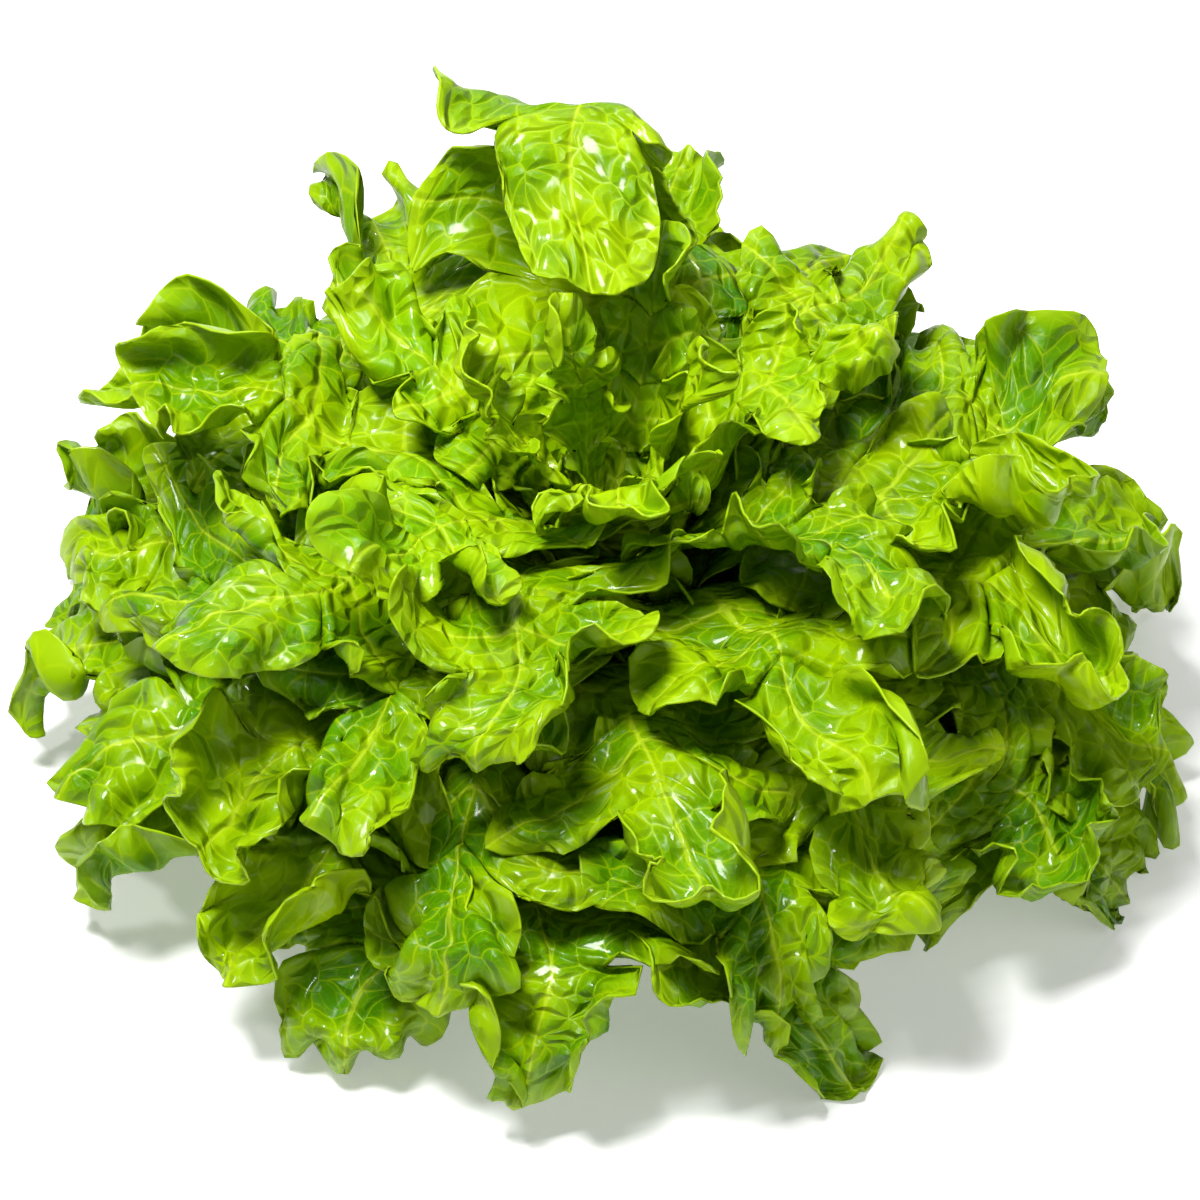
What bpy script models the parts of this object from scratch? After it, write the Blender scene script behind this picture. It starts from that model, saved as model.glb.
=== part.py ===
"""Oak leaf lettuce head, as picked: the cut stem and every leaf, each one closed solid.

Metres, +Z up. The head stands on the cut of its stem at z = 0, and the viewer of the photo is on the -Y side.
A leaf is a sheet of columns that fan out from its midrib to its margin. The midribs of all leaves follow
one family of nested curves, so that the sheets lie over one another like bowls without crossing. The lobes
are then curled, folded and twisted, and settle() eases that back wherever two leaves would cross.
"""

import math

import bmesh
import bpy
import numpy as np
from mathutils.bvhtree import BVHTree

# The head
LEAF_COUNT = 57
HEAD_RADIUS = 0.157
HEAD_HEIGHT = 0.140
CROWDING = 1.5  # 1 spaces the leaves' tips evenly in height, more crowds them low down
HEAD_ROUNDNESS = 2.3  # 2 is an ellipse, more is boxier
GOLDEN_ANGLE = math.radians(137.508)
FIRST_AZIMUTH = math.radians(-27)  # brings the crest leaf to the back

# The stem
STEM_RADIUS = 0.0155
STEM_TOP_RADIUS = 0.0045
STEM_HEIGHT = 0.056
STEM_GAP = 0.0004

# The leaves
BLADE_THICKNESS = 0.0008
PETIOLE_THICKNESS = 0.0024
HEART_PETIOLE_THICKNESS = 0.0012
OUTER_HALF_WIDTH = 0.062
HEART_HALF_WIDTH = 0.038
RIB_END = 0.80  # share of the leaf's length that the midrib takes up
SINUSES = np.array([0.22, 0.42, 0.62, 0.81])  # where the margin turns in, along the midrib
LOBES = len(SINUSES)
HALF_WIDTHS = np.array([[0, 0.10, 0.22, 0.36, 0.62, 0.81], [0, 0.10, 0.56, 0.94, 1, 1]])  # along, share
TIP_REACH = 0.205  # share of the leaf's length that its last lobe stands out from the midrib's end
LOW_BREADTH = 1.25  # how much broader the last lobe is on the lowest leaf
ROWS = np.array([0.0, 0.60, 1.0])  # midrib to margin
CLEARANCE = 0.0005  # kept between leaves while they settle

# The leaf that stands up behind the heart and curls forward over it
CREST_RANK = 48
CREST_PART = 0.72  # share of its usual midrib that it follows before it rises
CREST_HOOK = np.array([[0.088, 0.194], [0.012, 0.137]])  # the control point above it, and its tip
CREST_HALF_WIDTH = 0.038
CREST_SWEEP = 0.066  # radius that it is bent to across, above the other leaves

LEAF_GREEN = (0.20, 0.42, 0.02, 1)
HEART_GREEN = (0.38, 0.60, 0.06, 1)
STEM_CREAM = (0.72, 0.70, 0.45, 1)


def lerp(a, b, share):
    return a + (b - a) * share


def smooth(share):
    share = np.clip(share, 0, 1)
    return share * share * (3 - 2 * share)


def stem_radius(z):
    return lerp(STEM_RADIUS, STEM_TOP_RADIUS, np.clip(z / STEM_HEIGHT, 0, 1) ** 1.3)


def bezier(start, leave, arrive, end):
    t = np.linspace(0, 1, 80)[:, None]
    return (1 - t) ** 3 * start + 3 * (1 - t) ** 2 * t * leave + 3 * (1 - t) * t**2 * arrive + t**3 * end


class Wave:
    """Smooth seeded noise between -1 and 1 along a line from 0 to 1."""

    def __init__(self, random, waves):
        self.heights = random.uniform(-1, 1, waves + 2)

    def __call__(self, along):
        at = np.clip(along, 0, 1) * (len(self.heights) - 2)
        first = np.minimum(np.floor(at).astype(int), len(self.heights) - 2)
        return lerp(self.heights[first], self.heights[first + 1], smooth(at - first))


class Leaf:
    """One leaf. Its rank runs from 0, the lowest outside, to LEAF_COUNT - 1 at the heart."""

    def __init__(self, rank):
        random = np.random.default_rng(1000 + rank)
        self.age = 1 - rank / (LEAF_COUNT - 1)
        self.azimuth = FIRST_AZIMUTH + rank * GOLDEN_ANGLE + random.uniform(-0.12, 0.12)
        self.half_width = lerp(HEART_HALF_WIDTH, OUTER_HALF_WIDTH, self.age) * random.uniform(0.92, 1.08)
        self.petiole = lerp(0.0032, 0.0066, self.age)
        self.petiole_thickness = lerp(HEART_PETIOLE_THICKNESS, PETIOLE_THICKNESS, self.age)
        self.broad = lerp(1, LOW_BREADTH, smooth((self.age - 0.72) / 0.28))
        self.sweep = None
        self.draw_midrib(rank, random)
        self.sides = {side: self.draw_side(random) for side in (-1, 1)}
        for name in ("rise", "droop", "fold", "twist", "size"):
            self.sides[1][name][-1] = self.sides[-1][name][-1]

    def draw_midrib(self, rank, random):
        """A Bezier curve from the stem to the head's outside, in a plane through the stem."""
        rise = 1 - self.age
        base_z = lerp(0.007, STEM_HEIGHT - 0.002, rise)
        start = math.radians(lerp(16, 86, rise**0.7))
        heart = max(0.0, rise - 0.84) / 0.16
        end = math.radians(lerp(-58, 10, rise**1.1) + 72 * heart**1.5)
        base_r = stem_radius(base_z) + STEM_GAP + 0.6 * self.petiole_thickness * math.sin(start)
        tip_z = lerp(0.003, 0.985 * HEAD_HEIGHT, rise**CROWDING) + random.uniform(-0.0015, 0.0015)
        fall = min(1.0, tip_z / HEAD_HEIGHT) ** HEAD_ROUNDNESS
        tip_r = HEAD_RADIUS * max(0.0, 1 - fall) ** (1 / HEAD_ROUNDNESS) * random.uniform(0.975, 1.0)
        tip_r *= 1 - 0.5 * smooth(heart)
        base = np.array([float(base_r), base_z])
        tip = np.array([tip_r, tip_z])
        chord = np.linalg.norm(tip - base)
        leave = base + chord * lerp(0.48, 0.45, rise) * np.array([math.cos(start), math.sin(start)])
        arrive = tip - chord * lerp(0.36, 0.30, rise) * np.array([math.cos(end), math.sin(end)])
        self.curve = bezier(base, leave, arrive, tip)
        self.half_width *= 1 - 0.55 * heart
        if rank == CREST_RANK:
            self.half_width = CREST_HALF_WIDTH
            self.petiole *= 0.7
            self.sweep = CREST_SWEEP
            kept = self.curve[: int(CREST_PART * len(self.curve))]
            onward = (kept[-1] - kept[-2]) / np.linalg.norm(kept[-1] - kept[-2])
            hook = bezier(kept[-1], kept[-1] + 0.022 * onward, *CREST_HOOK)
            self.curve = np.concatenate([kept, hook[1:]])
        steps = np.linalg.norm(np.diff(self.curve, axis=0), axis=1)
        self.arc = np.concatenate([[0], np.cumsum(steps)])
        self.length = self.arc[-1]
        slope = np.gradient(self.curve, axis=0)
        self.angle = np.unwrap(np.arctan2(slope[:, 1], slope[:, 0]))

    def draw_side(self, random):
        """The seeded form of the lobes on one side of the midrib. The lowest leaves hang down to the floor."""
        low = smooth((self.age - 0.72) / 0.28)
        return {
            "size": random.uniform(0.84, 1.12, LOBES),
            "depth": random.uniform(0.56, 0.68),
            "rise": random.uniform(0, lerp(60, 20, low), LOBES),
            "droop": random.uniform(lerp(-150, -110, low), lerp(30, -10, low), LOBES),
            "fold": random.uniform(-1, 1, LOBES),
            "twist": random.uniform(-1, 1, LOBES),
            "lean": random.uniform(-1, 1),
            "sway": Wave(random, 6),
        }

    def margin(self, q, side):
        """For each column its reach, the lobes' outline, the web's reach, its angle, lobe and phase."""
        form = self.sides[side]
        lobe = np.clip(np.searchsorted(SINUSES, q, side="right") - 1, 0, LOBES - 1)
        ends = np.append(SINUSES, 2 - SINUSES[-1])
        phase = np.clip((q - ends[lobe]) / (ends[lobe + 1] - ends[lobe]), 0, 1)
        whole = self.half_width * np.interp(q, *HALF_WIDTHS)
        last = np.clip((q - SINUSES[-1]) / (1 - SINUSES[-1]), 0, 1)
        tip = self.broad * TIP_REACH * self.length * (1 + 0.18 * np.sin(math.pi * last) ** 2)
        whole = lerp(whole, tip, smooth((q - 0.72) / 0.14))
        whole = whole + self.petiole * (1 - smooth((q - 0.08) / 0.16))
        web = whole * (1 - form["depth"] * smooth((q - 0.02) / 0.15))
        bulge = np.where(q < SINUSES[0], 0, np.sin(math.pi * phase**0.85) ** 0.5)
        bulge = np.where(lobe == LOBES - 1, np.sin(math.pi * np.minimum(phase, 0.5)) ** 0.4, bulge)
        size = form["size"][lobe]
        reach = web + (whole * size - web) * bulge
        angle = np.interp(q, [0, 0.16, 0.81, 1], [90, 84, 60, 0])
        angle = angle + 5 * form["lean"] * smooth(q / 0.3) * (1 - smooth((q - 0.5) / 0.24))
        return reach, np.maximum(whole * size, reach), web, np.radians(angle), lobe, phase

    def foot(self, q):
        """Where the column starts on the midrib."""
        last = np.clip((q - SINUSES[-1]) / (1 - SINUSES[-1]), 0, 1)
        share = np.interp(q, [0, 0.16, 0.81], [0, 0.17, 0.89]) + 0.11 * (1 - (1 - last) ** 2)
        return RIB_END * self.length * share

    def flat(self, q, v, side):
        """The leaf laid out flat: across, along, lift."""
        reach, _, _, angle, _, _ = self.margin(q, side)
        out = reach[:, None] * v
        across = side * np.sin(angle)[:, None] * out
        return across, self.foot(q)[:, None] + np.cos(angle)[:, None] * out, 0 * out

    def ruffled(self, q, v, side):
        """The leaf with its lobes curled along, folded across and twisted: across, along, lift."""
        form = self.sides[side]
        reach, whole, web, angle, lobe, phase = self.margin(q, side)
        fine = np.linspace(0, 1, 25)
        out = reach[:, None] * fine
        free = np.clip((out - web[:, None]) / (whole - web + 1e-6)[:, None], 0, 1)
        room = (smooth((q - 0.10) / 0.25) * (1 - smooth((q - 0.86) / 0.14)))[:, None]
        pitch = 38 * form["sway"](q)[:, None] * out / whole[:, None] * room
        pitch = pitch + form["rise"][lobe][:, None] * smooth(free * 4) + form["droop"][lobe][:, None] * free
        pitch = np.radians(pitch)
        step = reach[:, None] / 24
        middle_pitch = (pitch[:, 1:] + pitch[:, :-1]) / 2
        along = np.concatenate([0 * step, np.cumsum(step * np.cos(middle_pitch), 1)], 1)
        lift = np.concatenate([0 * step, np.cumsum(step * np.sin(middle_pitch), 1)], 1)
        first = np.minimum(np.floor(v * 24).astype(int), 23)
        share = v * 24 - first
        along, lift, pitch, free = (
            lerp(table[:, first], table[:, first + 1], share) for table in (along, lift, pitch, free)
        )
        middle = np.append((SINUSES[1:] + SINUSES[:-1]) / 2, 1.0)[lobe]
        _, _, _, middle_angle, _, _ = self.margin(middle, side)
        aim_x, aim_y = side * np.sin(middle_angle)[:, None], np.cos(middle_angle)[:, None]
        x = side * np.sin(angle)[:, None] * along
        y = self.foot(q)[:, None] + np.cos(angle)[:, None] * along
        centre_x, centre_y = aim_x * along, self.foot(middle)[:, None] + aim_y * along
        off_x, off_y = x - centre_x, y - centre_y
        wide = np.hypot(off_x, off_y) + 1e-9
        off_x, off_y = off_x / wide, off_y / wide
        free = smooth(free * 1.25)
        fold = math.radians(95) * form["fold"][lobe][:, None] * free * np.minimum(wide / 0.014, 1.3) + 1e-6
        aside, up = wide * np.sin(fold) / fold, wide * (1 - np.cos(fold)) / fold
        turn = math.radians(40) * form["twist"][lobe][:, None] * free
        turn = turn * np.where(lobe == LOBES - 1, side, np.sign(phase - 0.5))[:, None]
        aside, up = aside * np.cos(turn) - up * np.sin(turn), aside * np.sin(turn) + up * np.cos(turn)
        x = centre_x + off_x * aside - aim_x * np.sin(pitch) * up
        y = centre_y + off_y * aside - aim_y * np.sin(pitch) * up
        below = (q < SINUSES[0])[:, None]
        x = np.where(below, side * np.sin(angle)[:, None] * along, x)
        y = np.where(below, self.foot(q)[:, None] + np.cos(angle)[:, None] * along, y)
        return x, y, lift + np.where(below, 0, np.cos(pitch) * up)

    def place(self, across, along, lift):
        """Points of the laid-out leaf in the head."""
        r = np.interp(along, self.arc, self.curve[:, 0])
        z = np.interp(along, self.arc, self.curve[:, 1])
        angle = np.interp(along, self.arc, self.angle)
        beyond = np.maximum(along - self.length, 0)
        r = r + beyond * np.cos(angle) - np.sin(angle) * lift
        z = z + beyond * np.sin(angle) + np.cos(angle) * lift
        bend = np.hypot(np.maximum(r, 0.002), 0.012)
        if self.sweep:
            bend = lerp(bend, self.sweep, smooth((along - 0.6 * self.length) / (0.3 * self.length)))
            out, aside = r - bend + bend * np.cos(across / bend), bend * np.sin(across / bend)
        else:
            out, aside = r * np.cos(across / bend), r * np.sin(across / bend)
        turn_x, turn_y = math.cos(self.azimuth), math.sin(self.azimuth)
        return np.stack([out * turn_x - aside * turn_y, out * turn_y + aside * turn_x, z], -1)

    def sheet(self, q, v, form):
        """A grid of points: columns along the leaf by rows from the left margin to the right one."""
        left, right = (self.place(*getattr(self, form)(q, v, side)) for side in (-1, 1))
        return np.concatenate([left[:, :0:-1], right], axis=1)

    def thickness(self, q, v):
        """Thick at the petiole and along the midrib, thin at the margin."""
        rib = (1 - smooth(q / 0.9))[:, None] * (1 - 0.8 * smooth(v / 0.6))
        half = BLADE_THICKNESS + (self.petiole_thickness - BLADE_THICKNESS) * rib
        return np.concatenate([half[:, :0:-1], half], axis=1)


class Drift:
    """A seeded flow that moves the leaves about without letting them cross, and leaves the stem alone."""

    def __init__(self, seed, reach, longest, shortest):
        random = np.random.default_rng(seed)
        self.steps = 6
        heading = random.normal(size=(14, 3))
        heading /= np.linalg.norm(heading, axis=1)[:, None]
        self.waves = heading * 2 * math.pi / random.uniform(shortest, longest, 14)[:, None]
        sideways = np.cross(heading, random.normal(size=(14, 3)))
        self.push = sideways / np.linalg.norm(sideways, axis=1)[:, None] * reach * math.sqrt(2 / 14)
        self.phase = random.uniform(0, 2 * math.pi, 14)

    def __call__(self, points):
        for _ in range(self.steps):
            x, y, z = points[..., 0], points[..., 1], np.maximum(points[..., 2] - 0.03, 0)
            away = np.sqrt(x**2 + y**2 + z**2)
            free = smooth((away - 0.036) / 0.06)[..., None]
            flow = np.sin(points @ self.waves.T + self.phase) @ self.push
            points = points + free * flow / self.steps
        return points


def above_floor(points, clear=0.0008, soft=0.002):
    """Presses the leaves that would hang below the floor flat on it, and leaves the others alone."""
    z = points[..., 2]
    pressed = clear + soft * np.log1p(np.exp((z - clear) / soft))
    out = smooth((np.hypot(points[..., 0], points[..., 1]) - 0.030) / 0.03)
    points = points.copy()
    points[..., 2] = lerp(z, pressed, out)
    return points


def drawn_in(points, start=0.138, room=0.018):
    """Draws the lobes that would stand out beyond the head back towards it."""
    away = np.hypot(points[..., 0], points[..., 1]) + 1e-9
    over = np.maximum(away - start, 0)
    share = (away - over + room * (1 - np.exp(-over / room))) / away
    return points * np.stack([share, share, np.ones_like(share)], -1)


WIDE_FLOW = Drift(17, 0.006, 0.14, 0.08)
NARROW_FLOW = Drift(35, 0.003, 0.07, 0.05)


def moved(points):
    """Points of the even head in the grown one, by a wide flow, a narrow one, its outside and the floor."""
    return above_floor(drawn_in(WIDE_FLOW(NARROW_FLOW(points))))


def lobe_columns():
    """The solid's columns: three for the petiole, three for each lobe and four for half of the last one."""
    ends = np.append(SINUSES, 2 - SINUSES[-1])
    q = [0.0, 0.08, 0.16]
    for start, end in zip(ends[:-2], ends[1:-1]):
        q += [lerp(start, end, share) for share in (0, 0.28, 0.72)]
    return np.array(q + [lerp(ends[-2], ends[-1], share) for share in (0, 0.14, 0.32, 0.5)])


def surface(grid):
    """Grid index and triangles of a sheet, whose last column has its two halves made one."""
    columns, rows = grid.shape[:2]
    index = np.arange(columns * rows).reshape(columns, rows)
    middle = rows // 2
    index[-1, :middle] = index[-1, :middle:-1]
    quads = np.stack([index[:-1, :-1], index[1:, :-1], index[1:, 1:], index[:-1, 1:]], -1).reshape(-1, 4)
    corner = grid.reshape(-1, 3)[quads]
    diagonals = np.linalg.norm(corner[:, [0, 1]] - corner[:, [2, 3]], axis=-1)
    across = diagonals[:, 0] <= diagonals[:, 1]
    first = np.where(across[:, None], quads[:, [0, 1, 2]], quads[:, [0, 1, 3]])
    second = np.where(across[:, None], quads[:, [0, 2, 3]], quads[:, [1, 2, 3]])
    return index, np.concatenate([first, second])


def solid(grid, thickness):
    """Closed mesh of a sheet: vertices, triangles and the grid point of each vertex."""
    index, triangles = surface(grid)
    points = grid.reshape(-1, 3)
    half = thickness.reshape(-1, 1) / 2
    corners = points[triangles]
    area = np.cross(corners[:, 1] - corners[:, 0], corners[:, 2] - corners[:, 0])
    normal = np.zeros_like(points)
    for corner in range(3):
        np.add.at(normal, triangles[:, corner], area)
    normal /= np.linalg.norm(normal, axis=1)[:, None] + 1e-12
    rim = np.concatenate([index[:, 0], index[-2::-1, -1], index[0, -2:0:-1]])
    after = np.roll(rim, -1)
    count = len(points)
    skirt = [np.stack([rim, rim + count, after + count], 1), np.stack([rim, after + count, after], 1)]
    faces = np.concatenate([triangles, triangles[:, ::-1] + count, *skirt])
    used, faces = np.unique(faces, return_inverse=True)
    both = np.concatenate([points - normal * half, points + normal * half])
    return both[used], faces.reshape(-1, 3), used % count


def crossings(solids, within):
    """For each leaf, the vertices of triangles that cut another leaf, or its own ones if within is set."""
    starts = np.cumsum([0] + [len(points) for points, _, _ in solids])
    points = np.concatenate([points for points, _, _ in solids])
    faces = np.concatenate([faces + start for (_, faces, _), start in zip(solids, starts)])
    owner = np.searchsorted(starts, faces[:, 0], side="right")
    tree = BVHTree.FromPolygons((points * 1000).tolist(), faces.tolist())
    pairs = np.array(tree.overlap(tree), int).reshape(-1, 2)
    pairs = pairs[(pairs[:, 0] < pairs[:, 1]) & ((owner[pairs[:, 0]] == owner[pairs[:, 1]]) == within)]
    first, second = faces[pairs[:, 0]], faces[pairs[:, 1]]
    apart = ~(first[:, :, None] == second[:, None, :]).any(axis=(1, 2))
    hit = np.zeros(len(points), bool)
    hit[first[apart]] = True
    hit[second[apart]] = True
    return [hit[a:b] for a, b in zip(starts[:-1], starts[1:])]


def eased(weight):
    """The weights with each one brought down towards its neighbours' mean."""
    wide = np.pad(weight, 1, mode="edge")
    mean = (wide[:-2, 1:-1] + wide[2:, 1:-1] + wide[1:-1, :-2] + wide[1:-1, 2:]) / 4
    return np.minimum(weight, lerp(weight, mean, 0.3))


def settle(leaves, q, v):
    """The leaves' sheets, eased back where leaves would cross, and the weight left at each point."""
    flat = [leaf.sheet(q, v, "flat") for leaf in leaves]
    ruffled = [leaf.sheet(q, v, "ruffled") for leaf in leaves]
    weights = [np.ones(grid.shape[:2]) for grid in flat]
    for _ in range(80):
        grids = [moved(lerp(a, b, w[..., None])) for a, b, w in zip(flat, ruffled, weights)]
        real = [solid(grid, leaf.thickness(q, v)) for grid, leaf in zip(grids, leaves)]
        wide = [solid(grid, leaf.thickness(q, v) + CLEARANCE) for grid, leaf in zip(grids, leaves)]
        between, within = crossings(wide, False), crossings(real, True)
        if not any(hit.any() for hit in between + within):
            break
        for weight, hit, own, (_, _, source) in zip(weights, between, within, wide):
            if (hit | own).any():
                weight.reshape(-1)[np.unique(source[hit | own])] *= 0.85
                weight[:] = eased(weight)
    return grids, weights


def material(name, colour, roughness):
    made = bpy.data.materials.new(name)
    made.use_nodes = True
    shader = made.node_tree.nodes["Principled BSDF"]
    shader.inputs["Base Color"].default_value = colour
    shader.inputs["Roughness"].default_value = roughness
    made.diffuse_color = colour
    return made


def add_mesh(name, points, faces, look):
    """One closed object, with its faces turned outwards."""
    mesh = bpy.data.meshes.new(name)
    mesh.from_pydata(points.tolist(), [], faces)
    mesh.materials.append(look)
    part = bpy.data.objects.new(name, mesh)
    bpy.context.scene.collection.objects.link(part)
    work = bmesh.new()
    work.from_mesh(mesh)
    bmesh.ops.recalc_face_normals(work, faces=work.faces)
    work.to_mesh(mesh)
    work.free()


def add_stem(look):
    """The cut butt of the stem, which tapers up inside the head."""
    sides = 20
    heights = np.array([0, 0.0012, 0.012, 0.024, 0.036, 0.048, STEM_HEIGHT])
    radii = stem_radius(heights)
    radii[0] -= 0.0008
    turn = np.arange(sides) * 2 * math.pi / sides
    rings = [np.stack([r * np.cos(turn), r * np.sin(turn), 0 * turn + z], 1) for r, z in zip(radii, heights)]
    points = np.concatenate(rings)
    faces = [list(range(sides)), list(range(len(points) - sides, len(points)))]
    for ring in range(len(heights) - 1):
        for side in range(sides):
            a, b = ring * sides + side, ring * sides + (side + 1) % sides
            faces.append([a, b, b + sides, a + sides])
    add_mesh("stem", points, faces, look)


def main():
    for thing in list(bpy.data.objects):
        bpy.data.objects.remove(thing)
    add_stem(material("stem cream", STEM_CREAM, 0.5))
    leaves = [Leaf(rank) for rank in range(LEAF_COUNT)]
    q = lobe_columns()
    grids, _ = settle(leaves, q, ROWS)
    for rank, (leaf, grid) in enumerate(zip(leaves, grids)):
        points, faces, _ = solid(grid, leaf.thickness(q, ROWS))
        shade = tuple(lerp(np.array(HEART_GREEN), np.array(LEAF_GREEN), leaf.age))
        name = f"leaf_{rank + 1:02d}"
        add_mesh(name, points, faces.tolist(), material(name + " green", shade, 0.4))


if __name__ == "__main__":
    main()
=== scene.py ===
"""The looks of an oak leaf lettuce head: every leaf as a fine, blistered, ruffled blade, and the cut stem.

Metres, +Z up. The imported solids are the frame. Each leaf's sheet is worked out here as the solid's was, and
settled on the same coarse columns, so that the fine blade lies where its solid lies.
"""

import math
from functools import cache

import bpy
import numpy as np
from bpy.props import FloatProperty, FloatVectorProperty, PointerProperty
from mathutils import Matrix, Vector
from mathutils.bvhtree import BVHTree


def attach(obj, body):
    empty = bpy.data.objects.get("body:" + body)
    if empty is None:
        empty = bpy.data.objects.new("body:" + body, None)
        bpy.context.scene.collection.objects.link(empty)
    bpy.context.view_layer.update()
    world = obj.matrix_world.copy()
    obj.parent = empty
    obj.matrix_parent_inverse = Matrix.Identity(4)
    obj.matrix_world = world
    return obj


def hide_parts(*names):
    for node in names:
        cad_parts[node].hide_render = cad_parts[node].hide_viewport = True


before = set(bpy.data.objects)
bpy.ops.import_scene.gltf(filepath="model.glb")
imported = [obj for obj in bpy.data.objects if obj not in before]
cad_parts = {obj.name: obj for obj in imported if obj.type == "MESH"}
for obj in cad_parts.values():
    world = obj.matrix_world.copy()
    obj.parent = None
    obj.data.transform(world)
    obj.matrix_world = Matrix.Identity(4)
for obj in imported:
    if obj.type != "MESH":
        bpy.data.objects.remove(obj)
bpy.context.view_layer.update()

bl_info = {
    "name": "Oak leaf lettuce head",
    "version": (1, 0, 0),
    "blender": (4, 5, 0),
    "location": "View3D > Sidebar > Lettuce",
    "description": "Builds the blades, the stem and the studio of an oak leaf lettuce head",
    "category": "Add Mesh",
}

# The head
LEAF_COUNT = 57
HEAD_RADIUS = 0.157
HEAD_HEIGHT = 0.140
CROWDING = 1.5  # 1 spaces the leaves' tips evenly in height, more crowds them low down
HEAD_ROUNDNESS = 2.3  # 2 is an ellipse, more is boxier
GOLDEN_ANGLE = math.radians(137.508)
FIRST_AZIMUTH = math.radians(-27)  # brings the crest leaf to the back
LOW_FROM, LOW_OVER = 0.72, 0.28  # age from which a leaf is a low one, and over which it becomes one
HEART_FROM, HEART_OVER = 0.84, 0.16  # the same for a heart leaf, by how far up the stem it grows
HEART_RANK = 49  # first leaf with the heart's colour

# The stem
STEM_RADIUS = 0.0155
STEM_TOP_RADIUS = 0.0045
STEM_HEIGHT = 0.056
STEM_GAP = 0.0004
STEM_SIDES = 120
STEM_RINGS = 36  # on its side, apart from the cut's
CUT_HEIGHT = 0.0006  # what is lower belongs to the cut
SIDE_GREEN, SIDE_CREAM = (0.52, 0.62, 0.20, 1), (0.78, 0.80, 0.50, 1)
CUT_CREAM, CUT_RING = (0.82, 0.78, 0.55, 1), (0.55, 0.55, 0.22, 1)
CUT_RIM, CUT_STREAK = (0.42, 0.24, 0.09, 1), (0.55, 0.40, 0.18, 1)

# The leaves
BLADE_THICKNESS = 0.0008
PETIOLE_THICKNESS = 0.0024
HEART_PETIOLE_THICKNESS = 0.0012
PETIOLE_HALF_WIDTH = 0.0066
HEART_PETIOLE_HALF_WIDTH = 0.0032
OUTER_HALF_WIDTH = 0.062
HEART_HALF_WIDTH = 0.038
FOOT_HEIGHTS = 0.007, STEM_HEIGHT - 0.002  # lowest leaf and last
TIP_HEIGHTS = 0.003, 0.985 * HEAD_HEIGHT
FOOT_SLOPES = 16, 86  # degrees above level
TIP_SLOPES = -58, 10
HEART_LIFT = 72  # degrees by which the heart's tips point further up
MIDRIB_POINTS = 80
RIB_END = 0.80  # share of the leaf's length that the midrib takes up
SINUSES = np.array([0.22, 0.42, 0.62, 0.81])  # where the margin turns in, along the midrib
LOBES = len(SINUSES)
LOBE_ENDS = np.append(SINUSES, 2 - SINUSES[-1])  # the last lobe's other half would end there
HALF_WIDTHS = np.array([[0, 0.10, 0.22, 0.36, 0.62, 0.81], [0, 0.10, 0.56, 0.94, 1, 1]])  # along, share
TIP_REACH = 0.205  # share of the leaf's length that its last lobe stands out from the midrib's end
LOW_BREADTH = 1.25  # how much broader the last lobe is on the lowest leaf
ROWS = np.array([0.0, 0.60, 1.0])  # midrib to margin
BEND_STEPS = 24  # from the midrib to the margin, along which a blade's bends are added up
SWAY = 38  # degrees, the most that the blade waves up and down along the leaf
FOLD, TWIST = math.radians(95), math.radians(40)  # the most that a lobe folds and twists

# The flows that stir the head, and its settling
LEAF_SEED, BLADE_SEED, CRUMPLE_SEED = 1000, 5000, 3
FLOW_WAVES, FLOW_STEPS = 14, 6
STILL_RADIUS, STIRRED_OVER = 0.036, 0.06  # the flows leave alone what is this near the stem
SETTLE_ROUNDS, SETTLE_STEP, EASING = 80, 0.85, 0.3
CLEARANCE = 0.0005  # kept between leaves while they settle

# The leaf that stands up behind the heart and curls forward over it
CREST_RANK = 48
CREST_PART = 0.72  # share of its usual midrib that it follows before it rises
CREST_HOOK = np.array([[0.088, 0.194], [0.012, 0.137]])  # the control point above it, and its tip
CREST_HALF_WIDTH = 0.038
CREST_SWEEP = 0.066  # radius that it is bent to across, above the other leaves
CREST_RELIEF = 0.6  # share of the other blades' ruffles and blisters that it has

# The visible blades
PETIOLE_COLUMNS, LOBE_COLUMNS, TIP_COLUMNS = 11, 23, 47
FINE_ROWS = np.concatenate([[0, 0.02], np.linspace(0.055, 0.93, 17), [0.96, 0.985, 1.0]])
RUFFLE_KNOTS = 80
RUFFLE_REACH, FRILL_REACH = 0.012, 0.005  # how far in from the margin each one dies away
PUFF_TILE = 64  # the puffs repeat after this many
RIB_HALF_WIDTHS = 0.0020, 0.00035  # at the leaf's foot and its tip
VEIN_HALF_WIDTHS, VEIN_LENGTH = (0.0006, 0.00022), 0.035
FAR_VEIN = 9.0  # half widths from a vein, from where on nothing of it shows
FLAT_STEP = 0.31, 0.37  # between the leaves' places on the flat, so that no two share a vein net

# The stage
FLOOR_HALF = 9
LIGHT_AIM = (0, 0, 0.05)
LIGHTS = {  # place and width
    "key": ((-0.30, -0.10, 1.15), 0.35),
    "fill": ((0.95, -0.75, 0.75), 0.8),
    "rim": ((0.15, 1.0, 0.75), 1.2),
    "spark": ((-0.45, 0.55, 0.95), 0.09),
}


def lerp(a, b, share):
    return a + (b - a) * share


def smooth(share):
    share = np.clip(share, 0, 1)
    return share * share * (3 - 2 * share)


def both_sides(left, right):
    """A table from the left margin to the right one, of two that run from the midrib to a margin."""
    return np.concatenate([left[:, :0:-1], right], axis=1)


def stem_radius(z):
    return lerp(STEM_RADIUS, STEM_TOP_RADIUS, np.clip(z / STEM_HEIGHT, 0, 1) ** 1.3)


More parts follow.
